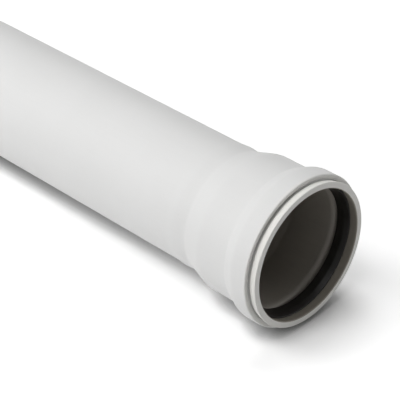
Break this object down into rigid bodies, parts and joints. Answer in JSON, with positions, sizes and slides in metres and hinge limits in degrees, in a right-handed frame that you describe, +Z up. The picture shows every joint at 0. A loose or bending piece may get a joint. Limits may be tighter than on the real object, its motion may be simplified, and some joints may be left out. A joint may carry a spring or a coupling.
{
  "type": "polypropylene drain pipe with push-fit socket",
  "caption": "Thick-walled drain pipe with a chamfered plain end and a formed push-fit socket that holds a rubber lip seal behind a retaining collar.",
  "frame": {"origin": "on the floor under the middle of the pipe as it lies", "axes": "+X along the pipe's length, from the plain end to the socket's mouth; +Z up; the pipe's axis dips 1.3 degrees towards the plain end, because it lies on its bead and on the rim of its plain end"},
  "size_m": [0.569, 0.1346, 0.1349],
  "materials": {
    "pipe": "smooth extruded polypropylene, pale grey-white, with a soft satin sheen",
    "sealing_ring": "black moulded rubber, slightly glossy from its lubricant"
  },
  "bodies": {
    "root": {"pipe": "pipe", "sealing_ring": "sealing_ring"}
  },
  "joints": []
}
